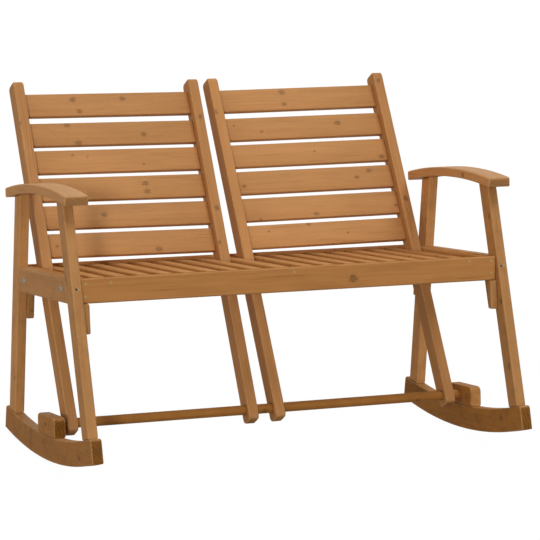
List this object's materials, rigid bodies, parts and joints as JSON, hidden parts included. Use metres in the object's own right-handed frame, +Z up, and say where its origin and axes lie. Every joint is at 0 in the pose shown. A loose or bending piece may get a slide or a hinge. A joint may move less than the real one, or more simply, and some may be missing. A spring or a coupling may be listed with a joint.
{
  "type": "rocking bench",
  "caption": "Slatted wooden rocking bench for two: crowned arms, splayed legs on curved rockers, and twin slatted backs that lean back on a cross dowel.",
  "frame": {"origin": "on the ground, under the middle of the bench's overall width and depth, as it rests", "axes": "+X across the bench, to the right of someone who looks at its front; +Y to the rear; +Z up"},
  "size_m": [1.1806, 0.8636, 0.8865],
  "materials": {
    "rocker_wood": "stained softwood, darker, oiled satin",
    "leg_wood": "stained softwood, planed, oiled satin",
    "arm_wood": "stained softwood, planed, oiled satin",
    "seat_wood": "stained softwood, planed, oiled satin",
    "back_wood": "stained softwood, planed, oiled satin",
    "fastener_steel": "zinc plated, dull"
  },
  "bodies": {
    "root": {"left_rocker": "rocker_wood", "left_front_leg": "leg_wood", "left_rear_leg": "leg_wood", "left_side_rail": "leg_wood", "left_dowel_block": "rocker_wood", "left_arm": "arm_wood", "left_front_cleat": "leg_wood", "left_rear_cleat": "leg_wood", "left_front_bolt": "fastener_steel", "left_rear_bolt": "fastener_steel", "right_rocker": "rocker_wood", "right_front_leg": "leg_wood", "right_rear_leg": "leg_wood", "right_side_rail": "leg_wood", "right_dowel_block": "rocker_wood", "right_arm": "arm_wood", "right_front_cleat": "leg_wood", "right_rear_cleat": "leg_wood", "right_front_bolt": "fastener_steel", "right_rear_bolt": "fastener_steel", "seat_front_rail": "seat_wood", "seat_rear_rail": "seat_wood", "seat_left_member": "seat_wood", "seat_right_member": "seat_wood", "seat_front_bearer": "seat_wood", "seat_rear_bearer": "seat_wood", "seat_slat_centre": "seat_wood", "seat_slat_left_1": "seat_wood", "seat_slat_left_2": "seat_wood", "seat_slat_left_3": "seat_wood", "seat_slat_left_4": "seat_wood", "seat_slat_left_5": "seat_wood", "seat_slat_left_6": "seat_wood", "seat_slat_left_7": "seat_wood", "seat_slat_left_8": "seat_wood", "seat_slat_right_1": "seat_wood", "seat_slat_right_2": "seat_wood", "seat_slat_right_3": "seat_wood", "seat_slat_right_4": "seat_wood", "seat_slat_right_5": "seat_wood", "seat_slat_right_6": "seat_wood", "seat_slat_right_7": "seat_wood", "seat_slat_right_8": "seat_wood", "left_back_inner_stile": "back_wood", "left_back_outer_stile": "back_wood", "left_back_slat_1": "back_wood", "left_back_slat_2": "back_wood", "left_back_slat_3": "back_wood", "left_back_slat_4": "back_wood", "left_back_slat_5": "back_wood", "left_back_slat_6": "back_wood", "right_back_inner_stile": "back_wood", "right_back_outer_stile": "back_wood", "right_back_slat_1": "back_wood", "right_back_slat_2": "back_wood", "right_back_slat_3": "back_wood", "right_back_slat_4": "back_wood", "right_back_slat_5": "back_wood", "right_back_slat_6": "back_wood", "dowel": "leg_wood"}
  },
  "joints": []
}
